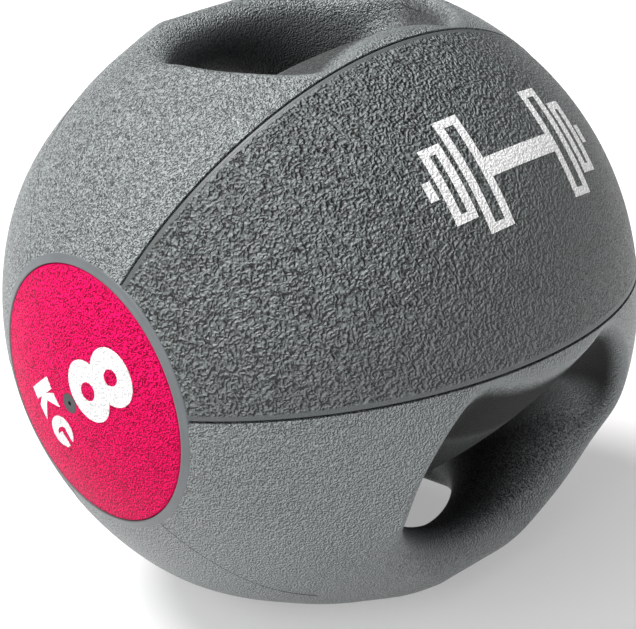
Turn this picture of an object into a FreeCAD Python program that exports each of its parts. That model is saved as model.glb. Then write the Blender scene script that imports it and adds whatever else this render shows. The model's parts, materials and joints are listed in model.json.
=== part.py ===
"""Two-handled rubber medicine ball, 280 mm across and 8 kg, as it comes apart on a bench.

Ball axes, before the ball is laid down: X runs through the two coloured end discs with the
valve at -X, the front side panel faces -Y and the two hand grips are at +Z and -Z. The finished
parts are then all turned about X by the rest tilt, so that the ball lies as it really does:
on the rim of its lower rear hand opening and on the lower grip. The origin is the ball centre.
"""
import FreeCAD, Part
import math
import os

import Sketcher

DRIVING = {
    "ball_radius": 140.0,
    "rest_tilt": 31.55,
    "cover_thickness": 4.0,
    "wall_thickness": 24.0,
    "seam_angle": 60.0,
    "seam_groove_angle": 0.5,
    "seam_groove_depth": 1.0,
    "disc_radius": 56.0,
    "opening_reach": 66.5,
    "floor_radius": 92.0,
    "mouth_floor_radius": 80.0,
    "mouth_offset": 118.0,
    "corner_radius": 29.0,
    "rim_radius": 8.0,
    "grip_width": 48.0,
    "grip_thickness": 27.0,
    "grip_edge_radius": 8.0,
    "waist_radius": 40.0,
    "end_wall_overlap": 1.0,
    "cavity_flat_height": 76.0,
    "bladder_thickness": 2.0,
    "insert_radius": 4.3,
    "insert_head_length": 6.0,
    "insert_stem_radius": 3.2,
    "insert_length": 32.0,
    "insert_recess": 0.3,
    "needle_bore_radius": 1.0,
    "sleeve_radius": 7.0,
    "patch_radius": 20.0,
    "patch_thickness": 2.0,
    "mark_thickness": 0.4,
    "numeral_radius": 13.5,
    "letter_height": 17.0,
    "emblem_length": 102.0,
    "emblem_aside": 14.0,
    "emblem_above": 7.0,
}
Vector = FreeCAD.Vector

# Sketcher's names for the places on a line or arc, the sketch's origin and its vertical axis.
START, END, CENTRE = 1, 2, 3
ORIGIN, VERTICAL_AXIS = -1, -2

# Larger than the ball, for wedges and prisms that only have to reach past its surface.
BEYOND = "1.1 * Sizes.ball_radius"

doc = FreeCAD.newDocument("medicine_ball")
sheet = doc.addObject("Spreadsheet::Sheet", "Sizes")
for row, (alias, number) in enumerate(DRIVING.items(), start=1):
    sheet.set(f"A{row}", alias)
    sheet.set(f"B{row}", str(number))
    sheet.setAlias(f"B{row}", alias)
doc.recompute()

# Each rotation gives the ball directions that local X, Y and Z are turned to.
ALONG_BALL_AXIS = FreeCAD.Rotation(Vector(0, 1, 0), Vector(0, 0, 1), Vector(1, 0, 0))
VALVE_FACE = FreeCAD.Rotation(Vector(0, 0, -1), Vector(0, -1, 0), Vector(-1, 0, 0))
PLAIN_FACE = FreeCAD.Rotation(Vector(0, 0, 1), Vector(0, -1, 0), Vector(1, 0, 0))
FRONT_FACE = FreeCAD.Rotation(Vector(1, 0, 0), Vector(0, 0, 1), Vector(0, -1, 0))
finished = []


def size(alias):
    return getattr(sheet, alias)


def add(kind, name, **properties):
    made = doc.addObject(kind, name)
    for key, value in properties.items():
        setattr(made, key, value)
    return made


def bind(made, **formulas):
    for key, formula in formulas.items():
        made.setExpression(key.replace("_", "."), formula)
    return made


def turned_x(degrees):
    return FreeCAD.Rotation(Vector(1, 0, 0), degrees)


def sphere(name, radius):
    """A sphere about the origin, its poles on the X axis."""
    made = bind(add("Part::Sphere", name), Radius=radius)
    made.Placement.Rotation = ALONG_BALL_AXIS
    return made


def rod(name, radius, start, end):
    """A cylinder along X, between two distances from the centre on the valve's side."""
    made = bind(add("Part::Cylinder", name), Radius=radius, Height=f"{start} - ({end})")
    made.Placement.Rotation = ALONG_BALL_AXIS
    return bind(made, Placement_Base_x=f"-({start})")


def wedge(name, middle, spread):
    """The space between two planes through the X axis; middle is in degrees up from +Y."""
    made = bind(add("Part::Cylinder", name), Radius=BEYOND, Height=f"2 * {BEYOND}", Angle=str(spread))
    made.Placement.Rotation = turned_x(middle - spread / 2) * ALONG_BALL_AXIS
    return bind(made, Placement_Base_x=f"-{BEYOND}")


def cut(name, base, tool):
    return add("Part::Cut", name, Base=base, Tool=tool)


def common(name, base, tool):
    return add("Part::Common", name, Base=base, Tool=tool)


def fuse(name, pieces):
    return add("Part::MultiFuse", name, Shapes=list(pieces))


def finish(made, label):
    """Names a finished part and lays it down with the rest of the ball."""
    made.Label = label
    tilt = "create(<<rotation>>; create(<<vector>>; 1; 0; 0); -Sizes.rest_tilt)"
    made.setExpression("Placement", f"create(<<placement>>; create(<<vector>>; 0; 0; 0); {tilt})")
    finished.append(made)


def constrain(sketch, constraints):
    for constraint in constraints:
        sketch.addConstraint(Sketcher.Constraint(*constraint))


def dimension(sketch, kind, places, value, formula):
    index = sketch.addConstraint(Sketcher.Constraint(kind, *places, value))
    sketch.setExpression(f"Constraints[{index}]", formula)


# --- The ball's outside -----------------------------------------------------------------------


def tunnel_section(name, turn, offset, floor_alias):
    """Cross-section of a hand tunnel: a convex floor, two hollow corners, two end walls and a top."""
    sketch = add("Sketcher::SketchObject", name)
    sketch.Placement.Rotation = turned_x(turn)
    bind(sketch, Placement_Base_y=offset)
    floor = size(floor_alias)
    corner = size("corner_radius")
    reach = size("opening_reach")
    top = 1.1 * size("ball_radius")
    across = reach - corner
    up = math.sqrt((floor + corner) ** 2 - across**2)
    lean = math.atan2(up, across)
    arcs = []
    for x, y, radius, first, last in (
        (0, 0, floor, lean, math.pi - lean),
        (across, up, corner, math.pi + lean, 2 * math.pi),
        (-across, up, corner, math.pi, 2 * math.pi - lean),
    ):
        circle = Part.Circle(Vector(x, y, 0), Vector(0, 0, 1), radius)
        arcs.append(sketch.addGeometry(Part.ArcOfCircle(circle, first, last)))
    floor_arc, right_arc, left_arc = arcs
    corners = [Vector(x, y, 0) for x, y in ((reach, up), (reach, top), (-reach, top), (-reach, up))]
    lines = [sketch.addGeometry(Part.LineSegment(*ends)) for ends in zip(corners, corners[1:])]
    right_wall, lid, left_wall = lines
    constrain(sketch, (
        ("Coincident", floor_arc, CENTRE, ORIGIN, START),
        ("Tangent", right_arc, START, floor_arc, START),
        ("Tangent", left_arc, END, floor_arc, END),
        ("Tangent", right_arc, END, right_wall, START),
        ("Tangent", left_arc, START, left_wall, END),
        ("Coincident", right_wall, END, lid, START),
        ("Coincident", lid, END, left_wall, START),
        ("Vertical", right_wall),
        ("Vertical", left_wall),
        ("Equal", right_arc, left_arc),
        ("Symmetric", right_wall, END, left_wall, START, VERTICAL_AXIS),
    ))
    lid_end = (ORIGIN, START, right_wall, END)
    dimension(sketch, "Radius", (floor_arc,), floor, f"Sizes.{floor_alias}")
    dimension(sketch, "Radius", (right_arc,), corner, "Sizes.corner_radius")
    dimension(sketch, "DistanceX", lid_end, reach, "Sizes.opening_reach")
    dimension(sketch, "DistanceY", lid_end, top, BEYOND)
    return sketch


def hand_tunnel(name, turn):
    """The space that a hand goes through, wider at both mouths, as if no grip crossed it."""
    sections = [
        tunnel_section(name + "FrontMouth", turn, "-Sizes.mouth_offset", "mouth_floor_radius"),
        tunnel_section(name + "Middle", turn, "0", "floor_radius"),
        tunnel_section(name + "RearMouth", turn, "Sizes.mouth_offset", "mouth_floor_radius"),
    ]
    return add("Part::Loft", name, Sections=sections, Solid=True)


def opening_outline(name, turn, facing):
    """Plan of one hand opening: straight along the grip, then rounded out to the end walls."""
    sketch = add("Sketcher::SketchObject", name)
    sketch.Placement.Rotation = turned_x(turn) * FreeCAD.Rotation(Vector(0, 0, 1), facing)
    radius = size("waist_radius")
    near = size("grip_width") / 2
    reach = size("opening_reach") + size("end_wall_overlap")
    far = 1.1 * size("ball_radius")
    across = reach - radius
    up = near + radius
    quarter = math.pi / 2
    right_circle = Part.Circle(Vector(across, up, 0), Vector(0, 0, 1), radius)
    left_circle = Part.Circle(Vector(-across, up, 0), Vector(0, 0, 1), radius)
    right = sketch.addGeometry(Part.ArcOfCircle(right_circle, -quarter, 0))
    left = sketch.addGeometry(Part.ArcOfCircle(left_circle, 2 * quarter, 3 * quarter))
    grip_side = sketch.addGeometry(Part.LineSegment(Vector(-across, near, 0), Vector(across, near, 0)))
    right_wall = sketch.addGeometry(Part.LineSegment(Vector(reach, up, 0), Vector(reach, far, 0)))
    far_side = sketch.addGeometry(Part.LineSegment(Vector(reach, far, 0), Vector(-reach, far, 0)))
    left_wall = sketch.addGeometry(Part.LineSegment(Vector(-reach, far, 0), Vector(-reach, up, 0)))
    constrain(sketch, (
        ("Tangent", grip_side, END, right, START),
        ("Tangent", right, END, right_wall, START),
        ("Coincident", right_wall, END, far_side, START),
        ("Coincident", far_side, END, left_wall, START),
        ("Tangent", left_wall, END, left, START),
        ("Tangent", left, END, grip_side, START),
        ("Horizontal", grip_side),
        ("Vertical", right_wall),
        ("Vertical", left_wall),
        ("Equal", right, left),
        ("Symmetric", right_wall, END, left_wall, START, VERTICAL_AXIS),
    ))
    far_corner = (ORIGIN, START, right_wall, END)
    dimension(sketch, "Radius", (right,), radius, "Sizes.waist_radius")
    dimension(sketch, "DistanceX", far_corner, reach, "Sizes.opening_reach + Sizes.end_wall_overlap")
    dimension(sketch, "DistanceY", far_corner, far, BEYOND)
    dimension(sketch, "DistanceY", (ORIGIN, START, right, START), near, "Sizes.grip_width / 2")
    return sketch


def hand_space(name, tunnel, turn):
    """What a hand tunnel leaves open: an opening on each side of the grip, joined beneath it."""
    openings = []
    for facing_name, facing in (("Rear", 0), ("Front", 180)):
        outline = opening_outline(name + facing_name + "Outline", turn, facing)
        prism = add("Part::Extrusion", name + facing_name, Base=outline, Solid=True)
        prism.Dir = turned_x(turn).multVec(Vector(0, 0, 1))
        openings.append(bind(prism, LengthFwd=BEYOND))
    under_grip = add("Part::Cylinder", name + "UnderGrip")
    bind(under_grip, Radius="Sizes.ball_radius - Sizes.grip_thickness", Height=f"2 * {BEYOND}",
         Placement_Base_y=BEYOND)
    under_grip.Placement.Rotation = turned_x(90)
    return common(name, tunnel, fuse(name + "Openings", [*openings, under_grip]))


def middle_point(edge):
    first, last = edge.ParameterRange
    return edge.valueAt((first + last) / 2)


def edges_at(shape, radius, distance):
    """The numbers of the edges that keep one distance from the ball's centre or from its Y axis."""
    numbers = []
    for number, edge in enumerate(shape.Edges, start=1):
        if edge.Length < 1 or abs(middle_point(edge).z) < size("disc_radius") / 2:
            continue
        first, last = edge.ParameterRange
        places = [edge.valueAt(first + (last - first) * step / 4) for step in range(5)]
        if all(abs(distance(place) - radius) < 0.01 for place in places):
            numbers.append(number)
    return numbers


whole_ball = sphere("WholeBall", "Sizes.ball_radius")
upper_tunnel = hand_tunnel("UpperTunnel", 90)
lower_tunnel = hand_tunnel("LowerTunnel", -90)
upper_space = hand_space("UpperSpace", upper_tunnel, 0)
lower_space = hand_space("LowerSpace", lower_tunnel, 180)
sharp_body = cut("SharpBody", cut("HalfOpenedBall", whole_ball, upper_space), lower_space)
doc.recompute()
rims = edges_at(sharp_body.Shape, size("ball_radius"), lambda place: place.Length)
under_radius = size("ball_radius") - size("grip_thickness")
grip_edges = edges_at(sharp_body.Shape, under_radius, lambda place: math.hypot(place.x, place.z))
rounding = [(number, size("rim_radius"), size("rim_radius")) for number in rims]
rounding += [(number, size("grip_edge_radius"), size("grip_edge_radius")) for number in grip_edges]
rounded_ball = add("Part::Fillet", "RoundedBall", Base=sharp_body, Edges=rounding)

finish(common("UpperGrip", rounded_ball, upper_tunnel), "upper_grip")
finish(common("LowerGrip", rounded_ball, lower_tunnel), "lower_grip")
body = cut("Body", rounded_ball, fuse("HandTunnels", [upper_tunnel, lower_tunnel]))

# --- Marks: the parts of prisms that lie in the ball's outer skin ------------------------------


def oval_prism(name, across, up, half_width, half_height):
    oval = add("Part::Ellipse", name + "Oval", MajorRadius=half_width, MinorRadius=half_height)
    if half_height > half_width:
        oval.MajorRadius, oval.MinorRadius = half_height, half_width
        oval.Placement.Rotation = FreeCAD.Rotation(Vector(0, 0, 1), 90)
    oval.Placement.Base = Vector(across, up, 0)
    prism = add("Part::Extrusion", name, Base=oval, Dir=Vector(0, 0, 1), Solid=True)
    return bind(prism, LengthFwd=BEYOND)


def block_prism(name, left, right, bottom, top):
    block = add("Part::Box", name, Length=right - left, Width=top - bottom)
    block.Placement.Base = Vector(left, bottom, 0)
    return bind(block, Height=BEYOND)


def outline_prism(name, points):
    outline = add("Part::Polygon", name + "Outline", Nodes=[Vector(x, y, 0) for x, y in points])
    outline.Close = True
    prism = add("Part::Extrusion", name, Base=outline, Dir=Vector(0, 0, 1), Solid=True)
    return bind(prism, LengthFwd=BEYOND)


def numeral_eight(name):
    """An 8 above the valve: two wide lobes, each with a round eye."""
    wide = size("numeral_radius")
    lobe_height = 0.78 * wide
    eye = 0.3 * wide
    low = size("insert_radius") + 0.06 * wide + lobe_height
    high = low + 1.15 * wide
    lobes = fuse(name + "Lobes", [
        oval_prism(name + "LowLobe", 0, low, wide, lobe_height),
        oval_prism(name + "HighLobe", 0, high, 0.94 * wide, 0.94 * lobe_height),
    ])
    eyes = fuse(name + "Eyes", [
        oval_prism(name + "LowEye", 0, low, eye, 0.99 * eye),
        oval_prism(name + "HighEye", 0, high, 0.88 * eye, 0.87 * eye),
    ])
    return cut(name, lobes, eyes)


def unit_letters(name):
    """The letters K and G below the valve, as two separate shapes."""
    tall = size("letter_height")
    stem = 0.32 * tall
    gap = 0.12 * tall
    wide = 0.8 * tall
    top = -size("insert_radius") - 0.25 * tall
    bottom = top - tall
    middle = top - tall / 2
    left = -gap / 2 - wide
    right = -gap / 2
    letter_k = outline_prism(name + "K", (
        (left, bottom), (left + stem, bottom), (left + stem, middle - 0.16 * tall),
        (right - stem, bottom), (right + 0.06 * tall, bottom), (right - 0.32 * tall, middle + 0.02 * tall),
        (right, top), (right - 1.15 * stem, top), (left + stem, middle + 0.12 * tall),
        (left + stem, top), (left, top),
    ))
    centre = gap / 2 + wide / 2
    ring = cut(
        name + "GRing",
        oval_prism(name + "GOuter", centre, middle, wide / 2, tall / 2),
        oval_prism(name + "GInner", centre, middle, wide / 2 - 0.9 * stem, tall / 2 - 0.8 * stem),
    )
    mouth = block_prism(name + "GMouth", centre, centre + wide, middle, middle + 0.22 * tall)
    tongue = block_prism(name + "GTongue", centre, centre + wide / 2, middle - 0.2 * tall, middle)
    letter_g = fuse(name + "G", [cut(name + "GOpen", ring, mouth), tongue])
    return fuse(name, [letter_k, letter_g])


def dumbbell(name):
    """A plain dumbbell sign: a bar, and at each end two plates drawn as outlines."""
    long = size("emblem_length")
    stroke = 0.035 * long
    pieces = [block_prism(name + "Bar", -0.2 * long, 0.2 * long, -0.04 * long, 0.04 * long)]
    for end, side in (("Left", -1), ("Right", 1)):
        for plate, near, far, half_height in (
            ("Inner", 0.2 * long, 0.32 * long, 0.24 * long),
            ("Outer", 0.345 * long, 0.445 * long, 0.16 * long),
        ):
            left, right = sorted((side * near, side * far))
            outer = block_prism(name + end + plate, left, right, -half_height, half_height)
            inside = half_height - stroke
            inner = block_prism(name + end + plate + "Inside", left + stroke, right - stroke, -inside, inside)
            pieces.append(cut(name + end + plate + "Frame", outer, inner))
        left, right = sorted((side * 0.465 * long, side * 0.5 * long))
        pieces.append(block_prism(name + end + "Tip", left, right, -0.04 * long, 0.04 * long))
    return fuse(name, pieces)


skin_core = sphere("SkinCore", "Sizes.ball_radius - Sizes.mark_thickness")
skin = cut("Skin", whole_ball, skin_core)


def mark(prism, facing, label):
    """Finishes a mark as thick as the skin, and gives the same shape to cut its seat with."""
    prism.Placement.Rotation = facing
    finish(common(prism.Name + "Mark", prism, skin), label)
    return common(prism.Name + "Seat", prism, skin)


valve_side_seats = fuse("ValveSideSeats", [
    mark(numeral_eight("ValveSideEight"), VALVE_FACE, "valve_side_numeral"),
    mark(unit_letters("ValveSideUnit"), VALVE_FACE, "valve_side_unit_letters"),
])
plain_side_seats = fuse("PlainSideSeats", [
    mark(numeral_eight("PlainSideEight"), PLAIN_FACE, "plain_side_numeral"),
    mark(unit_letters("PlainSideUnit"), PLAIN_FACE, "plain_side_unit_letters"),
])
emblem_sign = dumbbell("Dumbbell")
emblem_sign.setExpression("Placement.Base.x", "Sizes.emblem_aside")
emblem_sign.setExpression("Placement.Base.z", "Sizes.emblem_above")
emblem_seat = mark(emblem_sign, FRONT_FACE, "front_panel_emblem")

# --- Cover: four panels with grooves between them, and an end disc on each side ----------------

under_cover = sphere("UnderCover", "Sizes.ball_radius - Sizes.cover_thickness")
cover = cut("Cover", body, under_cover)
end_plugs = rod("EndPlugs", "Sizes.disc_radius", BEYOND, f"-{BEYOND}")
panel_shell = cut("PanelShell", cover, end_plugs)
seam_angle = size("seam_angle")
UP, FRONT, DOWN, REAR = 90, 180, 270, 0

finish(cut("FrontPanel", common("FrontLune", panel_shell, wedge("FrontWedge", FRONT, 180 - 2 * seam_angle)),
           emblem_seat), "front_side_panel")
finish(common("RearPanel", panel_shell, wedge("RearWedge", REAR, 180 - 2 * seam_angle)), "rear_side_panel")

groove_floor = sphere("GrooveFloor", "Sizes.ball_radius - Sizes.seam_groove_depth")
groove_shell = cut("GrooveShell", sphere("GrooveTop", BEYOND), groove_floor)
groove_angle = size("seam_groove_angle")
for name, middle, label in (("Upper", UP, "upper_handle_panel"), ("Lower", DOWN, "lower_handle_panel")):
    lune = common(name + "Lune", panel_shell, wedge(name + "Wedge", middle, 2 * seam_angle))
    edge = seam_angle - groove_angle / 2
    borders = fuse(name + "Borders", [
        wedge(name + "FrontBorder", middle - edge, groove_angle),
        wedge(name + "RearBorder", middle + edge, groove_angle),
    ])
    grooves = common(name + "Grooves", borders, groove_shell)
    finish(cut(name + "Panel", lune, grooves), label)

insert_head = rod("InsertHead", "Sizes.insert_radius", BEYOND,
                  "Sizes.ball_radius - Sizes.insert_recess - Sizes.insert_head_length")
insert_stem = rod("InsertStem", "Sizes.insert_stem_radius", BEYOND, "Sizes.cavity_flat_height")
insert_envelope = fuse("InsertEnvelope", [insert_head, insert_stem])
valve_side_half = rod("ValveSideHalf", BEYOND, BEYOND, "0")
end_discs = common("EndDiscs", cover, end_plugs)
valve_disc_openings = fuse("ValveDiscOpenings", [valve_side_seats, insert_envelope])
finish(cut("ValveDisc", common("ValveDiscBlank", end_discs, valve_side_half), valve_disc_openings),
       "valve_side_disc")
finish(cut("PlainDisc", cut("PlainDiscBlank", end_discs, valve_side_half), plain_side_seats),
       "plain_side_disc")

# --- Heavy rubber wall, bladder and valve -------------------------------------------------------

cavity_radius = "(Sizes.ball_radius - Sizes.cover_thickness - Sizes.wall_thickness)"


def flattened_sphere(name, inset):
    """The inside of the ball, flat above and below so that it clears both hand tunnels."""
    half_height = f"(Sizes.cavity_flat_height - {inset})"
    slab = add("Part::Box", name + "Slab")
    bind(slab, Length=f"2 * {BEYOND}", Width=f"2 * {BEYOND}", Height=f"2 * {half_height}",
         Placement_Base_x=f"-{BEYOND}", Placement_Base_y=f"-{BEYOND}", Placement_Base_z=f"-{half_height}")
    return common(name, sphere(name + "Round", f"{cavity_radius} - {inset}"), slab)


cavity = flattened_sphere("Cavity", "0")
wall = cut("Wall", common("UnderCoverBody", body, under_cover), cavity)
sleeve_rod = rod("SleeveRod", "Sizes.sleeve_radius", BEYOND, "Sizes.cavity_flat_height")
patch_rod = rod("PatchRod", "Sizes.patch_radius", BEYOND, "Sizes.cavity_flat_height")
patch_ball = sphere("PatchBall", f"{cavity_radius} + Sizes.patch_thickness")
patch_seat = common("PatchSeat", patch_ball, patch_rod)
bored_wall = cut("BoredWall", wall, fuse("WallOpenings", [patch_seat, sleeve_rod]))
front_half = bind(add("Part::Box", "FrontHalf"), Length=f"2 * {BEYOND}", Width=BEYOND, Height=f"2 * {BEYOND}",
                  Placement_Base_x=f"-{BEYOND}", Placement_Base_y=f"-{BEYOND}", Placement_Base_z=f"-{BEYOND}")
finish(common("FrontWall", bored_wall, front_half), "front_weight_wall")
finish(cut("RearWall", bored_wall, front_half), "rear_weight_wall")

bladder_shell = cut("BladderShell", cavity, flattened_sphere("AirSpace", "Sizes.bladder_thickness"))
finish(cut("Bladder", bladder_shell, insert_envelope), "bladder")

patch_blank = cut("PatchBlank", patch_seat, cavity)
finish(cut("Patch", patch_blank, insert_envelope), "valve_patch")
sleeve_blank = cut("SleeveBlank", common("SleeveInWall", sleeve_rod, under_cover), patch_ball)
finish(cut("Sleeve", sleeve_blank, insert_envelope), "valve_sleeve")


def valve_insert():
    """The needle valve: a headed rubber plug, bored from end to end, turned about the X axis."""
    body = add("PartDesign::Body", "ValveInsert")
    plane = next(item for item in body.Origin.OriginFeatures if item.Role == "XZ_Plane")
    sketch = body.newObject("Sketcher::SketchObject", "InsertProfile")
    sketch.AttachmentSupport = [(plane, "")]
    sketch.MapMode = "FlatFace"
    outer_end = -size("ball_radius") + size("insert_recess")
    shoulder = outer_end + size("insert_head_length")
    inner_end = outer_end + size("insert_length")
    bore = size("needle_bore_radius")
    stem = size("insert_stem_radius")
    head = size("insert_radius")
    corners = ((outer_end, bore), (inner_end, bore), (inner_end, stem), (shoulder, stem), (shoulder, head),
               (outer_end, head))
    points = [Vector(x, y, 0) for x, y in corners]
    lines = [
        sketch.addGeometry(Part.LineSegment(a, b))
        for a, b in zip(points, points[1:] + points[:1])
    ]
    bore_line, inner_face, stem_line, shoulder_face, head_line, outer_face = lines
    constrain(sketch, [("Coincident", a, END, b, START) for a, b in zip(lines, lines[1:] + lines[:1])])
    constrain(sketch, [("Horizontal", line) for line in (bore_line, stem_line, head_line)])
    constrain(sketch, [("Vertical", line) for line in (inner_face, shoulder_face, outer_face)])
    outer = "Sizes.insert_recess - Sizes.ball_radius"
    for line, kind, value, formula in (
        (outer_face, "DistanceX", outer_end, outer),
        (inner_face, "DistanceX", inner_end, f"{outer} + Sizes.insert_length"),
        (shoulder_face, "DistanceX", shoulder, f"{outer} + Sizes.insert_head_length"),
        (bore_line, "DistanceY", bore, "Sizes.needle_bore_radius"),
        (stem_line, "DistanceY", stem, "Sizes.insert_stem_radius"),
        (head_line, "DistanceY", head, "Sizes.insert_radius"),
    ):
        dimension(sketch, kind, (ORIGIN, START, line, START), value, formula)
    revolution = body.newObject("PartDesign::Revolution", "InsertTurned")
    revolution.Profile = sketch
    revolution.ReferenceAxis = (sketch, ["H_Axis"])
    revolution.Angle = 360.0
    body.Tip = revolution
    return body


finish(valve_insert(), "valve_insert")

# --- Check and export --------------------------------------------------------------------------

doc.recompute()
for item in doc.Objects:
    if "Invalid" in item.State or "Error" in item.State:
        raise RuntimeError(f"{item.Name} failed: {item.State}")
os.makedirs("parts", exist_ok=True)
for item in finished:
    if item.Shape.isNull() or not item.Shape.isValid() or not item.Shape.Solids:
        raise RuntimeError(f"{item.Label} has no valid solid")
    item.Shape.exportStep(f"parts/{item.Label}.step")
    print(f"{item.Label:26s} solids {len(item.Shape.Solids):2d}  volume {item.Shape.Volume / 1000:9.2f} cm3")
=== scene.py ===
"""Looks of the two-handled medicine ball: grained rubber skins, grips, discs, marks and a pale studio.

Lengths are in millimetres until a mesh is made. Shapes are worked out in the ball's own axes, as
it was moulded: X through the end discs with the valve at -X, the front side panel facing -Y and
the hand grips at +Z and -Z. Meshes are then turned by the tilt at which the ball lies.
"""
import json
import math
from functools import partial

import bmesh
import bpy
import numpy as np
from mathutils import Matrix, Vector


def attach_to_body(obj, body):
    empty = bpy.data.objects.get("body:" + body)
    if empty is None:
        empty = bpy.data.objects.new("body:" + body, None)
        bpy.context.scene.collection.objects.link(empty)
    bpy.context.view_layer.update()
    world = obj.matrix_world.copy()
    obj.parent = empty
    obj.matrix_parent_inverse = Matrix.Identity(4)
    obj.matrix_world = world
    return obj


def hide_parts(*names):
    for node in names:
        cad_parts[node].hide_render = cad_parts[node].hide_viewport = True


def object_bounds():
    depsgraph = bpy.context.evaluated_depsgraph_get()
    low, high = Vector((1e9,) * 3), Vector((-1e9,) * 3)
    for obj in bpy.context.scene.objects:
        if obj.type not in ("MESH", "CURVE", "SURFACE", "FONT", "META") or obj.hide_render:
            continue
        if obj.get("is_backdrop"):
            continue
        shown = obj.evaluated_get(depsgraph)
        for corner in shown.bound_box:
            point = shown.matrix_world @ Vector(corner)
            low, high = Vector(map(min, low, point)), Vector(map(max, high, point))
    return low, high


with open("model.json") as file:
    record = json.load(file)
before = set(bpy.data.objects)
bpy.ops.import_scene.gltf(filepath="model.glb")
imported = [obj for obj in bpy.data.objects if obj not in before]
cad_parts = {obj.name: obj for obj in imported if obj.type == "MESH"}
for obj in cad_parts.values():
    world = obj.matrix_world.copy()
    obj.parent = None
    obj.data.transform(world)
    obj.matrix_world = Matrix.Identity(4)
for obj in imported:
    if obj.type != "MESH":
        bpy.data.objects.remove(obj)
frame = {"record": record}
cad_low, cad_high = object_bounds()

import openvdb
from mathutils import Matrix, Vector

MM = 0.001
RADIUS = cad_high.x / MM
grip_mount = next(m for m in frame["record"]["mounts"] if m["name"] == "upper_hand_grip")
TILT = math.atan2(grip_mount["axis"][1], grip_mount["axis"][2])
LAY_DOWN = Matrix.Rotation(-TILT, 3, "X")

# Cover
COVER = 4.0
SEAM_ANGLE = math.radians(60)
SEAM_GAP = 0.45
DISC_RADIUS = 56.0
RING_WIDTH = 3.8
TEXTURED_SINK = 0.25

# How finely the covers are worked out, and the block of voxels that holds the upper handle skin
PANEL_STEP = 1.3
SKIN_VOXEL = 1.6
SKIN_MARGIN = 3.0
SKIN_SHORTER = 13.0
SKIN_LOWEST = 26.0

# Hand openings
REACH = 66.5
FLOOR_MIDDLE = 92.0
FLOOR_MOUTH = 76.0
MOUTH_OFFSET = 118.0
CORNER = 26.5
LIP_ROUNDING = 4.0
GRIP_ROUNDING = 12.0
GRIP_CENTRE = 125.0
GRIP_HALF_WIDTH = 27.0
GRIP_HALF_THICKNESS = 12.5
GRIP_ROUNDNESS = 2.2
GRIP_FLARE = 66.0
GRIP_BLEND = 8.0
GRIP_EDGE_START = 25.0
GRIP_EDGE_END = 70.0
STEEPEST_LEAN = 0.8
SHARPEST_LIP = -0.5
BLUNTEST_LIP = 0.95

# The skin beside the ends of the grips, a little flatter than the sphere. Pairs of numbers are where a
# gradual change starts and ends: along the discs' axis, then to each side of the grips.
END_FLATTENING = 3.0
FLAT_NEAR = (5.0, 42.0)
FLAT_FAR = (104.0, 62.0)
FLAT_ASIDE = (78.0, 40.0)

# Painted shade of the handle skins: how deep under the sphere it sets in, under the grips and in the
# mouths to each side of them, how dark the deepest painted shade gets, and how smooth the mouths' lips are.
DARK_UNDER_GRIP = (10.0, 36.0)
DARK_IN_MOUTH = (1.5, 9.0)
MOUTH = (50.0, 75.0)
UNDER_GRIP_SHARE = 0.9
DARKEST_UPPER = 0.75
DARKEST_LOWER = 0.96
LIP_SMOOTHNESS = 0.7
LIP_BAND = (-LIP_ROUNDING, -0.3 * LIP_ROUNDING)
LIP_ASIDE = (GRIP_HALF_WIDTH, GRIP_HALF_WIDTH + 12)

# Edges of the side panels: (distance from the edge, height over the sphere) pairs, and where the
# grain starts and is full.
PANEL_EDGE = ((0.0, -1.4), (0.15, -0.95), (0.4, -0.5), (0.75, -0.16), (1.15, -0.02), (1.6, 0.0), (2.1, 0.0),
              (2.6, -0.06), (3.1, -0.18), (3.6, -TEXTURED_SINK))
PANEL_GRAIN = (2.2, 3.4)

# Discs
VALVE_RADIUS = 4.3
VALVE_HOLE = VALVE_RADIUS + 0.15
PLAIN_HOLE = 0.4
DISC_SEGMENTS = 240
DISC_STEP = 1.2
DISC_EDGE = DISC_RADIUS - 0.3
DISC_GRAIN_EDGE = 0.9
HOLE_GRAIN = (0.4, 1.4)

# The fine lines that the mould leaves, and how far they stop from an edge
LINE_RADIUS = 0.24
LINE_SINK = 0.16
LINE_STEP = 1.5
LINE_SIDES = 8
LINE_MARGIN = 0.6
GRIP_END = REACH + 0.7 * GRIP_ROUNDING
POLE_MARGIN = 0.004

# Inside
CAVITY_RADIUS = 112.0
CAVITY_HALF_HEIGHT = 76.0
PATCH_RADIUS = 20.2
PATCH_DEPTH = 2.2
SLEEVE_RADIUS = 7.2
WALL_VOXEL = 3.0
WALL_CLEARANCE = 0.4


# --- Distances to the shapes, negative inside ---------------------------------------------------


def fade(value, start, end):
    """0 up to start and 1 from end, with a smooth change between them."""
    share = np.clip((value - start) / (end - start), 0, 1)
    return share * share * (3 - 2 * share)


def rounded_max(a, b, radius, lean):
    """The overlap of two shapes, its edge rounded off; lean is the cosine between their normals."""
    a_in, b_in = a + radius, b + radius
    in_corner = (a_in > lean * b_in) & (b_in > lean * a_in)
    from_centre = np.sqrt(np.maximum(a_in**2 + b_in**2 - 2 * lean * a_in * b_in, 0) / (1 - lean**2))
    return np.where(in_corner, from_centre - radius, np.maximum(a, b))


def smooth_min(a, b, reach):
    """Two shapes joined with a soft fillet."""
    near = np.maximum(reach - np.abs(a - b), 0) / reach
    return np.minimum(a, b) - near * near * reach / 4


def hand_tunnel(x, y, z):
    """The space a hand goes through, as if no grip crossed it; the same above and below."""
    from_axis = np.hypot(x, z)
    floor = FLOOR_MIDDLE + (FLOOR_MOUTH - FLOOR_MIDDLE) * (y / MOUTH_OFFSET) ** 2
    lean = -np.clip(np.abs(x) / np.maximum(from_axis, 1), 0, STEEPEST_LEAN)
    return rounded_max(np.abs(x) - REACH, floor - from_axis, CORNER, lean)


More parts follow.
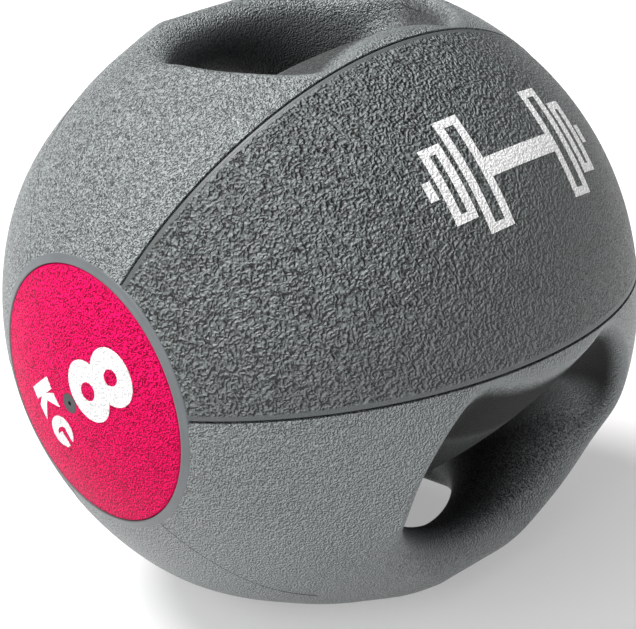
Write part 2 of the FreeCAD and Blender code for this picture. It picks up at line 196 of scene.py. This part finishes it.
def grip(x, y, z):
    """The bar across a hand opening: an oval bent along the ball's curve."""
    up = np.hypot(x, z) - GRIP_CENTRE
    power = GRIP_ROUNDNESS
    sideways = (np.abs(y) / GRIP_HALF_WIDTH) ** power
    upwards = (np.abs(up) / GRIP_HALF_THICKNESS) ** power
    oval = (sideways + upwards) ** (1 / power)
    return np.hypot(y, up) * (1 - 1 / np.maximum(oval, 1e-3))


def opened_body(x, y, z):
    """Endless rubber with the hand openings in it and the grips across them."""
    flared = smooth_min(grip(x, y, z), REACH - np.abs(x), GRIP_FLARE)
    return smooth_min(flared, -hand_tunnel(x, y, z), GRIP_BLEND)


def flattening(x, y):
    """How far the ball's skin lies under the full sphere beside the ends of the grips."""
    along = fade(np.abs(x), *FLAT_NEAR) * fade(np.abs(x), *FLAT_FAR)
    return END_FLATTENING * along * fade(np.abs(y), *FLAT_ASIDE)


def ball(x, y, z, nudge=0.2):
    """The whole ball with its hand openings and grips, every lip rounded off."""
    from_centre = np.sqrt(x * x + y * y + z * z)
    step = nudge / from_centre
    outer = opened_body(x * (1 + step), y * (1 + step), z * (1 + step))
    inner = opened_body(x * (1 - step), y * (1 - step), z * (1 - step))
    lean = np.clip((outer - inner) / (2 * nudge), SHARPEST_LIP, BLUNTEST_LIP)
    at_grip = fade(np.abs(y), GRIP_EDGE_END, GRIP_EDGE_START)
    rounding = LIP_ROUNDING + (GRIP_ROUNDING - LIP_ROUNDING) * at_grip
    return rounded_max(from_centre - RADIUS + flattening(x, y), (outer + inner) / 2, rounding, lean)


def core(x, y, z, cover):
    """Everything under the cover; the grips are cover right through."""
    tunnel = hand_tunnel(x, y, z)
    return np.maximum(ball(x, y, z) + cover, cover - tunnel)


def handle_skin(x, y, z):
    """The cover round both hand openings, with the solid grips, up to the end discs."""
    shell = np.maximum(ball(x, y, z), -core(x, y, z, COVER))
    return np.maximum(shell, DISC_RADIUS + 2 - np.hypot(y, z))


def weight_wall(x, y, z):
    """The heavy rubber between the cover and the cavity, with the seats of the valve's patch and sleeve."""
    cover = COVER + WALL_CLEARANCE
    from_centre = np.sqrt(x * x + y * y + z * z)
    from_axis = np.hypot(y, z)
    cavity = np.maximum(from_centre - CAVITY_RADIUS, np.abs(z) - CAVITY_HALF_HEIGHT)
    wall = np.maximum(core(x, y, z, cover), -cavity)
    patch = np.maximum(from_centre - CAVITY_RADIUS - PATCH_DEPTH, from_axis - PATCH_RADIUS)
    patch_seat = np.maximum(patch, x)
    sleeve_bore = np.maximum(from_axis - SLEEVE_RADIUS, x)
    return np.maximum(np.maximum(wall, -patch_seat), -sleeve_bore)


def half_wall(x, y, z, side):
    """The front half of the heavy rubber where side is 1, and the rear half where it is -1."""
    return np.maximum(weight_wall(x, y, z), y * side)


# --- Meshes ------------------------------------------------------------------------------------


def level_surface(distance, low, high, voxel):
    """Vertices and quads of a shape's surface between two corners."""
    counts = [int((b - a) / voxel) + 1 for a, b in zip(low, high)]
    axes = [a + voxel * np.arange(n) for a, n in zip(low, counts)]
    field = distance(*np.meshgrid(*axes, indexing="ij")).astype(np.float32)
    grid = openvdb.FloatGrid(4 * voxel)
    grid.copyFromArray(np.clip(field, -4 * voxel, 4 * voxel))
    points, quads = grid.convertToQuads()
    return points.astype(float) * voxel + np.array(low), quads


def onto_surface(points, distance, steps=4, nudge=0.05):
    """Moves points straight onto a shape's surface."""
    for _ in range(steps):
        slope = np.stack([
            distance(*(points + nudge * axis).T) - distance(*(points - nudge * axis).T)
            for axis in np.eye(3)
        ], axis=1) / (2 * nudge)
        steep = np.maximum((slope**2).sum(axis=1), 0.1)
        points = points - slope * (distance(*points.T) / steep)[:, None]
    return points


def make_piece(name, points, faces, **shares):
    """A piece from points in the ball's axes; shares are numbers from 0 to 1 for each point."""
    mesh = bpy.data.meshes.new(name)
    laid = np.asarray(points) @ np.array(LAY_DOWN).T
    mesh.from_pydata((laid * MM).tolist(), [], [list(face) for face in faces])
    piece = bpy.data.objects.new(name, mesh)
    bpy.context.scene.collection.objects.link(piece)
    for share, values in shares.items():
        attribute = mesh.attributes.new(share, "FLOAT", "POINT")
        attribute.data.foreach_set("value", np.asarray(values, np.float32))
    return piece


def tidy(piece, sharp_degrees=50):
    """Makes the faces point outwards and shades the piece smoothly, except at sharp edges."""
    bm = bmesh.new()
    bm.from_mesh(piece.data)
    bmesh.ops.recalc_face_normals(bm, faces=bm.faces)
    for face in bm.faces:
        face.smooth = True
    for edge in bm.edges:
        edge.smooth = edge.calc_face_angle(0) < math.radians(sharp_degrees)
    bm.to_mesh(piece.data)
    bm.free()


def cut_flat(piece, normal, offset):
    """Cuts a closed piece with a plane given in the ball's axes, and closes the cut."""
    across = LAY_DOWN @ Vector(normal)
    bm = bmesh.new()
    bm.from_mesh(piece.data)
    everything = bm.verts[:] + bm.edges[:] + bm.faces[:]
    cut = bmesh.ops.bisect_plane(
        bm, geom=everything, dist=1e-7, plane_co=across * offset, plane_no=across, clear_outer=True)
    cut_edges = [item for item in cut["geom_cut"] if isinstance(item, bmesh.types.BMEdge)]
    edges = [edge for edge in cut_edges if edge.is_boundary]
    filled = bmesh.ops.holes_fill(bm, edges=edges, sides=0)
    bmesh.ops.triangulate(bm, faces=filled["faces"])
    bm.to_mesh(piece.data)
    bm.free()


def shell_faces(rows, columns):
    """Faces of two equal grids of points, the outer first, joined along their edges."""
    count = rows * columns
    faces = []
    for row in range(rows - 1):
        for column in range(columns - 1):
            a = row * columns + column
            b = a + 1
            faces.append((a, b, b + columns, a + columns))
            faces.append((a + count, a + columns + count, b + columns + count, b + count))
    first_row = [(column, column + 1) for column in range(columns - 1)]
    first_column = [(row * columns, (row + 1) * columns) for row in range(rows - 1)]
    for edge, to_opposite in ((first_row, (rows - 1) * columns), (first_column, columns - 1)):
        for a, b in edge:
            faces.append((b, a, a + count, b + count))
            a, b = a + to_opposite, b + to_opposite
            faces.append((a, b, b + count, a + count))
    return faces


# --- Materials ---------------------------------------------------------------------------------


class Nodes:
    """A short way to write the nodes of a material or of the world."""

    def __init__(self, owner):
        owner.use_nodes = True
        self.owner = owner
        self.tree = owner.node_tree
        self.tree.nodes.clear()

    def add(self, kind, inputs=(), **settings):
        node = self.tree.nodes.new(kind)
        for key, value in settings.items():
            setattr(node, key, value)
        for key, value in dict(inputs).items():
            if isinstance(value, bpy.types.NodeSocket):
                self.tree.links.new(value, node.inputs[key])
            else:
                node.inputs[key].default_value = value
        return node

    def math(self, operation, *values, clamp=False):
        node = self.add("ShaderNodeMath", dict(enumerate(values)), operation=operation, use_clamp=clamp)
        return node.outputs[0]

    def vector(self, operation, *values):
        return self.add("ShaderNodeVectorMath", dict(enumerate(values)), operation=operation).outputs[0]

    def blend(self, share, low, high):
        mix = self.add("ShaderNodeMix", {0: share, 6: low, 7: high}, data_type="RGBA")
        return mix.outputs[2]

    def noise(self, place, size, detail=2.0, roughness=0.5):
        inputs = {"Vector": place, "Scale": 1 / (size * MM), "Detail": detail, "Roughness": roughness}
        return self.add("ShaderNodeTexNoise", inputs).outputs["Fac"]

    def finish(self, colour, roughness, normal, **constants):
        inputs = {"Base Color": colour, "Roughness": roughness, "Normal": normal}
        shader = self.add("ShaderNodeBsdfPrincipled", {**inputs, **constants})
        self.add("ShaderNodeOutputMaterial", {"Surface": shader.outputs[0]})
        return self.owner


# The way the painted paler sides of the grain face, up and to the left of the camera: painted light on one
# side of every ridge and pebble, painted shade on the other.
LIT_SIDE = (-0.65, 0.17, 0.74)
LIT_SIDE_REACH = 0.28

# Grain: the sizes of the warp and the ridges are multiples of the grain's own size.
WARP_SIZE = 4.0
RIDGE_SIZE = 1.7
RIDGE_STEEPNESS = 6.0
RIDGE_SHARE = 0.6
PEBBLE_SMOOTHNESS = 0.6
PEBBLE_STEEPNESS = 1.3

# Colour: how much its shades depend on the grain's slope, which gives painted light and shade, on a fine
# speckle and on wide blotches.
LIT_CONTRAST = 2.8
SPECKLE_SIZE = 0.55
SPECKLE_HEIGHT = 0.05
SPECKLE_CONTRAST = 0.6
BLOTCH_SIZE = 60.0
BLOTCH_CONTRAST = 0.2
BLOTCH_DULLING = 0.12
SHADE_BASE = 0.05
SHADED_DARKENING = 1.6
LIT_PALING = 0.8
DEPTH_DULLING = 0.6


def wrinkles(n, place, size):
    """The height of a moulded grain: short winding ridges with small pebbles between them."""
    warp_inputs = {"Vector": place, "Scale": 1 / (WARP_SIZE * size * MM), "Detail": 1.0}
    warp = n.add("ShaderNodeTexNoise", warp_inputs)
    shift = n.vector("MULTIPLY", warp.outputs["Color"], (size * MM,) * 3)
    warped = n.vector("ADD", place, shift)
    winding = n.math("ABSOLUTE", n.math("SUBTRACT", n.noise(warped, RIDGE_SIZE * size, detail=1.0), 0.5))
    ridges = n.math("SUBTRACT", 1.0, n.math("MULTIPLY", winding, RIDGE_STEEPNESS), clamp=True)
    cell_inputs = {"Vector": warped, "Scale": 1 / (size * MM), "Smoothness": PEBBLE_SMOOTHNESS}
    cells = n.add("ShaderNodeTexVoronoi", cell_inputs, feature="SMOOTH_F1").outputs["Distance"]
    pebbles = n.math("SUBTRACT", 1.0, n.math("MULTIPLY", cells, PEBBLE_STEEPNESS), clamp=True)
    pebble_part = n.math("MULTIPLY", pebbles, 1 - RIDGE_SHARE)
    return n.math("ADD", n.math("MULTIPLY", ridges, RIDGE_SHARE), pebble_part)


def grained_rubber(name, colour, size, height, masked=True, painted_relief_and_mottle=1.0, rough=0.46, shine=0.5):
    """Moulded rubber with a grain: flat where the grain attribute is 0, darker with painted shade and
    duller as a piece's painted shade grows.

    The relief is how strongly the colour differs between painted light on the grain's sides towards the
    light, painted shade on the sides away from it, and the mottle.
    """
    n = Nodes(bpy.data.materials.new(name))
    place = n.add("ShaderNodeTexCoord").outputs["Object"]
    grain = wrinkles(n, place, size)
    # Painted light and shade on the grain: its height here against its height a little towards the light.
    lit_side = n.vector("ADD", place, tuple(LIT_SIDE_REACH * size * MM * c for c in LIT_SIDE))
    slope = n.math("SUBTRACT", grain, wrinkles(n, lit_side, size))
    speckle = n.noise(place, SPECKLE_SIZE)
    if masked:
        mask = n.add("ShaderNodeAttribute", attribute_name="grain").outputs["Fac"]
        grain = n.math("MULTIPLY", grain, mask)
        slope = n.math("MULTIPLY", slope, mask)
    surface = n.math("ADD", grain, n.math("MULTIPLY", speckle, SPECKLE_HEIGHT))
    bump_inputs = {"Strength": 1.0, "Distance": height * MM, "Height": surface}
    bump = n.add("ShaderNodeBump", bump_inputs).outputs[0]
    blotches = n.noise(place, BLOTCH_SIZE, detail=3.0)
    speckled = n.math("MULTIPLY_ADD", speckle, SPECKLE_CONTRAST, SHADE_BASE)
    mottle = n.math("MULTIPLY_ADD", blotches, BLOTCH_CONTRAST, speckled)
    share = n.math("MULTIPLY_ADD", slope, LIT_CONTRAST, mottle, clamp=True)
    # Painted shade: the colour goes towards black, and the rubber gets duller, as the piece's painted shade
    # grows.
    depth = n.add("ShaderNodeAttribute", attribute_name="depth").outputs["Fac"]
    # Painted shaded and lit copies of the colour, mixed by the grain's slope towards the light and by the
    # mottle.
    low = (*[c / (1 + SHADED_DARKENING * painted_relief_and_mottle) for c in colour], 1.0)
    high = (*[min(1.0, c * (1 + LIT_PALING * painted_relief_and_mottle)) for c in colour], 1.0)
    shade = n.blend(depth, n.blend(share, low, high), (0.0, 0.0, 0.0, 1.0))
    dulling = n.math("MULTIPLY_ADD", depth, DEPTH_DULLING, rough - BLOTCH_DULLING / 2)
    roughness = n.math("MULTIPLY_ADD", blotches, BLOTCH_DULLING, dulling, clamp=True)
    return n.finish(shade, roughness, bump, **{"Specular IOR Level": shine})


PLAIN_BUMP_SIZE = 0.8
PLAIN_BUMP_HEIGHT = 0.04
PLAIN_BLOTCH_SIZE = 12.0
PLAIN_CONTRAST = 0.2
PLAIN_DULLING = 0.15


def plain_rubber(name, colour, rough):
    """Smooth moulded rubber with a faint mottle, for pieces without a grain."""
    n = Nodes(bpy.data.materials.new(name))
    place = n.add("ShaderNodeTexCoord").outputs["Object"]
    fine = n.noise(place, PLAIN_BUMP_SIZE, detail=4.0, roughness=0.6)
    blotches = n.noise(place, PLAIN_BLOTCH_SIZE)
    bump_inputs = {"Strength": 0.6, "Distance": PLAIN_BUMP_HEIGHT * MM, "Height": fine}
    bump = n.add("ShaderNodeBump", bump_inputs).outputs[0]
    low = (*[(1 - PLAIN_CONTRAST) * c for c in colour], 1.0)
    high = (*[min(1.0, (1 + PLAIN_CONTRAST) * c) for c in colour], 1.0)
    shade = n.blend(blotches, low, high)
    roughness = n.math("MULTIPLY_ADD", fine, PLAIN_DULLING, rough)
    return n.finish(shade, roughness, bump)


GREY = (0.13, 0.141, 0.142)
DARK_GREY = (0.032, 0.0355, 0.0355)
RED = (0.6, 0.002, 0.066)
WHITE = (0.8, 0.8, 0.8)
coarse_grey = grained_rubber("coarse_grained_grey_rubber", DARK_GREY, size=1.4, height=1.1, painted_relief_and_mottle=5.0)
fine_grey = grained_rubber("fine_grained_grey_rubber", GREY, size=0.85, height=0.5, painted_relief_and_mottle=1.5, rough=0.4)
smooth_grey = plain_rubber("smooth_grey_rubber", (0.12, 0.129, 0.135), rough=0.36)
grained_red = grained_rubber(
    "grained_red_rubber", RED, size=0.85, height=0.5, painted_relief_and_mottle=1.3, rough=0.5, shine=0.05)
grained_white = grained_rubber(
    "printed_white", WHITE, size=1.05, height=0.3, masked=False, painted_relief_and_mottle=0.3, rough=0.5)
line_grey = plain_rubber("parting_line_rubber", (0.02, 0.021, 0.022), rough=0.6)
valve_rubber = plain_rubber("valve_rubber", (0.035, 0.037, 0.04), rough=0.42)
weight_rubber = plain_rubber("weight_rubber", (0.03, 0.03, 0.03), rough=0.7)
bladder_rubber = plain_rubber("bladder_rubber", (0.02, 0.02, 0.02), rough=0.35)


def paint(piece, material):
    """Gives a piece one material."""
    piece.data.materials.clear()
    piece.data.materials.append(material)


def paint_node(name, material):
    """Gives every slot of a piece that comes from the CAD one material."""
    for slot in bpy.data.objects[name].material_slots:
        slot.material = material


def attach(piece, slot_name, *nodes):
    """Lets a piece ride on the ball and hides the CAD nodes it stands for; the colour slot's name is not
    used.
    """
    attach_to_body(piece, "root")
    if nodes:
        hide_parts(*nodes)


# --- Handle panels with their grips -------------------------------------------------------------


def skin_shades(points):
    """The grain and the painted shade of the upper handle skin's points: smoother lips, openings darkened
    with painted shade.
    """
    aside = np.abs(points[:, 1])
    from_sphere = np.sqrt((points**2).sum(axis=1)) - RADIUS
    lip = fade(opened_body(*points.T), *LIP_BAND) * fade(from_sphere, *LIP_BAND)
    grain = 1 - LIP_SMOOTHNESS * lip * fade(aside, *LIP_ASIDE)
    under_skin = -from_sphere - flattening(points[:, 0], points[:, 1])
    # Painted shade deep under the sphere, and sooner in the mouths to each side of the grips.
    under_grip = UNDER_GRIP_SHARE * fade(under_skin, *DARK_UNDER_GRIP)
    in_mouth = fade(aside, *MOUTH) * fade(under_skin, *DARK_IN_MOUTH)
    return grain, np.maximum(under_grip, in_mouth)


def handle_skins():
    """Both handle panels with their grips: the lower one is the upper one turned, with darker painted shade
    inside.
    """
    low = (-RADIUS - SKIN_MARGIN, -RADIUS + SKIN_SHORTER, SKIN_LOWEST)
    high = (RADIUS + SKIN_MARGIN, RADIUS - SKIN_SHORTER, RADIUS + SKIN_MARGIN)
    points, quads = level_surface(handle_skin, low, high, SKIN_VOXEL)
    outside = np.abs(ball(*points.T)) < SKIN_VOXEL / 2
    points[outside] = onto_surface(points[outside], ball)
    grain, depth = skin_shades(points)
    for name, side, darkest in (("upper", 1, DARKEST_UPPER), ("lower", -1, DARKEST_LOWER)):
        turned = points * np.array([1, side, side])
        piece = make_piece(f"{name}_handle_skin", turned, quads, grain=grain, depth=darkest * depth)
        for facing in (-1, 1):
            normal = Vector((0, facing * math.cos(SEAM_ANGLE), -side * math.sin(SEAM_ANGLE)))
            cut_flat(piece, normal, -SEAM_GAP / 2 * MM)
        tidy(piece)
        paint(piece, fine_grey)
        attach(piece, "cover_grey", f"{name}_grip", f"{name}_handle_panel")


def panel_row(angle, inner_columns):
    """Outer points and grain of one row across the front panel, at an angle from the valve's axis."""
    edge_places = np.array([place for place, _ in PANEL_EDGE])
    edge_heights = [height for _, height in PANEL_EDGE]
    across = RADIUS * math.sin(angle)
    half = across * (math.pi / 2 - SEAM_ANGLE) - SEAM_GAP / 2
    inner_half = half - edge_places[-1]
    middle = np.linspace(-inner_half, inner_half, inner_columns)[1:-1]
    places = np.concatenate([edge_places - half, middle, half - edge_places[::-1]])
    from_edge = half - np.abs(places)
    radius = RADIUS + np.interp(from_edge, edge_places, edge_heights)
    turn = places / across
    points = np.stack([-radius * math.cos(angle), -radius * math.sin(angle) * np.cos(turn),
                       radius * math.sin(angle) * np.sin(turn)], axis=1)
    return points, fade(from_edge, *PANEL_GRAIN)


def side_panels():
    """The front and rear panels, from disc to disc, their long edges rounded down into the seams."""
    start = math.asin((DISC_RADIUS + 2) / RADIUS)
    row_count = int((math.pi - 2 * start) * RADIUS / PANEL_STEP)
    inner_columns = int((math.pi - 2 * SEAM_ANGLE) * RADIUS / PANEL_STEP)
    rows = [panel_row(angle, inner_columns) for angle in np.linspace(start, math.pi - start, row_count)]
    outer = np.concatenate([points for points, _ in rows])
    inner = outer / np.linalg.norm(outer, axis=1)[:, None] * (RADIUS - COVER)
    grain = np.concatenate([*(row_grain for _, row_grain in rows), np.zeros(len(inner))])
    faces = shell_faces(row_count, len(outer) // row_count)
    for name, side in (("front", 1), ("rear", -1)):
        points = np.concatenate([outer, inner]) * np.array([1, side, side])
        piece = make_piece(f"{name}_side_skin", points, faces, grain=grain)
        tidy(piece)
        paint(piece, coarse_grey)
        attach(piece, "cover_grey", f"{name}_side_panel")


def turned_shell(profile, closed):
    """A shell turned about the X axis from (radius, height over the sphere) pairs, at the valve's end."""
    turn = np.arange(DISC_SEGMENTS) * 2 * math.pi / DISC_SEGMENTS
    points = []
    for radius, height in profile:
        along = -math.sqrt(RADIUS**2 - radius**2) - height
        circle = [np.full(DISC_SEGMENTS, along), radius * np.cos(turn), radius * np.sin(turn)]
        points.append(np.stack(circle, axis=1))
    total = len(profile) * DISC_SEGMENTS
    faces = []
    for row in range(len(profile) if closed else len(profile) - 1):
        for column in range(DISC_SEGMENTS):
            a = row * DISC_SEGMENTS + column
            b = row * DISC_SEGMENTS + (column + 1) % DISC_SEGMENTS
            faces.append((a, b, (b + DISC_SEGMENTS) % total, (a + DISC_SEGMENTS) % total))
    if not closed:
        faces.append(tuple(range(DISC_SEGMENTS)))
        faces.append(tuple(range(total - DISC_SEGMENTS, total)))
    return np.concatenate(points), faces


def end_disc(name, side, hole, pierced):
    """A red disc, its edge rounded down; a pierced one leaves a hole for the valve."""
    steps = int((DISC_EDGE - hole) / DISC_STEP)
    across = DISC_EDGE - DISC_STEP - hole
    face = [(hole + across * step / steps, -TEXTURED_SINK) for step in range(steps + 1)]
    lip = [(DISC_EDGE - 0.6, -0.15), (DISC_EDGE - 0.2, -0.35), (DISC_EDGE, -0.8), (DISC_EDGE, -COVER)]
    rim = [(hole, -0.6)] if pierced else []
    points, faces = turned_shell(rim + face + lip + [(hole, -COVER)], closed=pierced)
    from_axis = np.hypot(points[:, 1], points[:, 2])
    grain = fade(from_axis, DISC_EDGE, DISC_EDGE - DISC_GRAIN_EDGE) * fade(from_axis - hole, *HOLE_GRAIN)
    piece = make_piece(f"{name}_disc_skin", points * np.array([side, 1, side]), faces, grain=grain)
    tidy(piece)
    paint(piece, grained_red)
    attach(piece, "disc_red", f"{name}_disc")


def disc_ring(name, side):
    """The smooth ring round a disc, with a bead along its inner edge."""
    band = DISC_RADIUS + RING_WIDTH
    bead = [(-0.1, -2.5), (-0.1, -0.5), (0.1, 0.05), (0.4, 0.28), (0.8, 0.34), (1.2, 0.25),
            (1.6, 0.12), (2.3, 0.1)]
    inner = [(DISC_RADIUS + out, height) for out, height in bead]
    outer = [(band - 0.6, 0.1), (band - 0.2, 0.02), (band, -0.25), (band, -2.5)]
    points, faces = turned_shell(inner + outer, closed=True)
    ring = make_piece(f"{name}_ring", points * np.array([side, 1, side]), faces)
    tidy(ring)
    paint(ring, smooth_grey)
    attach(ring, "cover_grey")


def end_discs():
    """Both end discs, each with its ring."""
    end_disc("valve_side", 1, VALVE_HOLE, pierced=True)
    disc_ring("valve_side", 1)
    end_disc("plain_side", -1, PLAIN_HOLE, pierced=False)
    disc_ring("plain_side", -1)


def arc_tube(points_list, faces_list, start, end, side, sink):
    """Adds a thin tube that follows the ball's surface in the plane of its mould's parting."""
    steps = max(8, int((end - start) * RADIUS / LINE_STEP))
    base = sum(len(points) for points in points_list)
    ring = np.arange(LINE_SIDES) * 2 * math.pi / LINE_SIDES
    for step in range(steps + 1):
        angle = start + (end - start) * step / steps
        reach = RADIUS - sink - flattening(RADIUS * math.cos(angle), 0) + LINE_RADIUS * np.cos(ring)
        points_list.append(np.stack([-reach * math.cos(angle), LINE_RADIUS * np.sin(ring),
                                     side * reach * math.sin(angle)], axis=1))
    for step in range(steps):
        for place in range(LINE_SIDES):
            a = base + step * LINE_SIDES + place
            b = base + step * LINE_SIDES + (place + 1) % LINE_SIDES
            faces_list.append((a, b, b + LINE_SIDES, a + LINE_SIDES))
    last = base + steps * LINE_SIDES
    faces_list.append(tuple(range(base, base + LINE_SIDES)))
    faces_list.append(tuple(range(last, last + LINE_SIDES)))


def parting_line(name, arcs, slot_name):
    """One piece from (start, end, side, sink) arcs along the mould's parting."""
    points, faces = [], []
    for arc in arcs:
        arc_tube(points, faces, *arc)
    piece = make_piece(name, np.concatenate(points), faces)
    tidy(piece)
    paint(piece, line_grey)
    attach(piece, slot_name)


def parting_lines():
    """The fine line that the mould leaves across the discs and the handle panels."""
    ring_edge = math.asin((DISC_RADIUS + RING_WIDTH) / RADIUS)
    disc_edge = math.asin((DISC_RADIUS - LINE_MARGIN) / RADIUS)
    valve_edge = math.asin((VALVE_RADIUS + LINE_MARGIN) / RADIUS)
    opening = math.acos(GRIP_END / RADIUS)
    for name, side in (("upper", 1), ("lower", -1)):
        near = (ring_edge, opening, side, LINE_SINK)
        far = (math.pi - opening, math.pi - ring_edge, side, LINE_SINK)
        parting_line(f"{name}_panel_parting_line", [near, far], "cover_grey")
    for name, first, last in (("valve_side", valve_edge, disc_edge),
                              ("plain_side", math.pi - disc_edge, math.pi - POLE_MARGIN)):
        arcs = [(first, last, side, LINE_SINK + TEXTURED_SINK) for side in (-1, 1)]
        parting_line(f"{name}_disc_parting_line", arcs, "disc_red")


def weight_walls():
    """The heavy rubber under the cover, in two halves."""
    low, high = (-RADIUS,) * 3, (RADIUS,) * 3
    for name, side in (("front", 1), ("rear", -1)):
        points, quads = level_surface(partial(half_wall, side=side), low, high, WALL_VOXEL)
        piece = make_piece(f"{name}_weight_wall_body", points, quads)
        tidy(piece)
        paint(piece, weight_rubber)
        attach(piece, "weight_rubber", f"{name}_weight_wall")


handle_skins()
side_panels()
end_discs()
parting_lines()
weight_walls()
for node in ("valve_side_numeral", "valve_side_unit_letters", "plain_side_numeral",
             "plain_side_unit_letters", "front_panel_emblem"):
    paint_node(node, grained_white)
paint_node("valve_insert", valve_rubber)
for node in ("bladder", "valve_patch", "valve_sleeve"):
    paint_node(node, bladder_rubber)


# --- Studio ------------------------------------------------------------------------------------

FLOOR_HALF_WIDTH = 6.0
SKY_AT_HORIZON = 0.05
SKY_RISE = 0.32
HAZE_HEIGHT = 0.1

# Where the camera stands, seen in the ball's own axes, and what it aims at beside the ball's centre.
CAMERA_RIGHT = Vector((0.725, -0.523, -0.448))
CAMERA_UP = Vector((0.324, -0.315, 0.892))
CAMERA_DISTANCE = 6.5
CAMERA_LENS = 115.66
AIM_ASIDE = 0.007
AIM_ABOVE = 0.067


def studio_floor():
    """A pale floor right under the ball."""
    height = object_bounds()[0].z
    sides = ((-1, -1), (1, -1), (1, 1), (-1, 1))
    corners = [(x * FLOOR_HALF_WIDTH, y * FLOOR_HALF_WIDTH, height) for x, y in sides]
    mesh = bpy.data.meshes.new("studio_floor")
    mesh.from_pydata(corners, [], [(0, 1, 2, 3)])
    floor = bpy.data.objects.new("studio_floor", mesh)
    bpy.context.scene.collection.objects.link(floor)
    n = Nodes(bpy.data.materials.new("pale_floor"))
    inputs = {"Base Color": (0.58, 0.58, 0.58, 1.0), "Roughness": 0.9, "Specular IOR Level": 0.0,
              "Emission Color": (1.0, 1.0, 1.0, 1.0), "Emission Strength": 0.36}
    shader = n.add("ShaderNodeBsdfPrincipled", inputs)
    n.add("ShaderNodeOutputMaterial", {"Surface": shader.outputs[0]})
    paint(floor, n.owner)
    floor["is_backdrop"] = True


def sun_light(name, azimuth, elevation, softness, strength):
    """A broad light from far away; its angles and its softness are in degrees."""
    light = bpy.data.lights.new(name, "SUN")
    light.angle = math.radians(softness)
    light.energy = strength
    lamp = bpy.data.objects.new(name, light)
    a, e = math.radians(azimuth), math.radians(elevation)
    away = Vector((math.sin(a) * math.cos(e), -math.cos(a) * math.cos(e), math.sin(e)))
    lamp.rotation_euler = away.to_track_quat("Z", "Y").to_euler()
    bpy.context.scene.collection.objects.link(lamp)


def overhead_sky():
    """A sky that is brightest straight above, with a white haze along the floor."""
    n = Nodes(bpy.data.worlds.new("studio"))
    direction = n.add("ShaderNodeTexCoord").outputs["Generated"]
    height = n.add("ShaderNodeSeparateXYZ", {0: direction}).outputs["Z"]
    sky = n.math("MULTIPLY_ADD", height, SKY_RISE, SKY_AT_HORIZON)
    haze = n.math("MULTIPLY_ADD", height, -1 / HAZE_HEIGHT, 1.0, clamp=True)
    inputs = {"Color": (1.0, 1.0, 1.0, 1.0), "Strength": n.math("ADD", sky, haze)}
    background = n.add("ShaderNodeBackground", inputs)
    n.add("ShaderNodeOutputWorld", {"Surface": background.outputs[0]})
    bpy.context.scene.world = n.owner


def studio_lights():
    """The main light from behind on the left, a second from the left, and the sky."""
    sun_light("key_light", azimuth=-148, elevation=66, softness=28, strength=4.5)
    sun_light("side_light", azimuth=-80, elevation=32, softness=50, strength=1.5)
    overhead_sky()
    bpy.context.scene.view_settings.view_transform = "Standard"


def camera():
    """A long lens at the place from which the photo's view of the ball is seen."""
    right = CAMERA_RIGHT.normalized()
    back = right.cross(CAMERA_UP).normalized()
    up = back.cross(right)
    place = (back * CAMERA_DISTANCE - right * AIM_ASIDE - up * AIM_ABOVE) * RADIUS * MM
    turn = Matrix((right, up, back)).transposed().to_4x4()
    made = bpy.data.objects.new("camera", bpy.data.cameras.new("camera"))
    made.data.lens = CAMERA_LENS
    made.matrix_world = LAY_DOWN.to_4x4() @ Matrix.Translation(place) @ turn
    bpy.context.scene.collection.objects.link(made)
    bpy.context.scene.camera = made


bpy.context.view_layer.update()
studio_floor()
studio_lights()
camera()
bpy.context.view_layer.update()
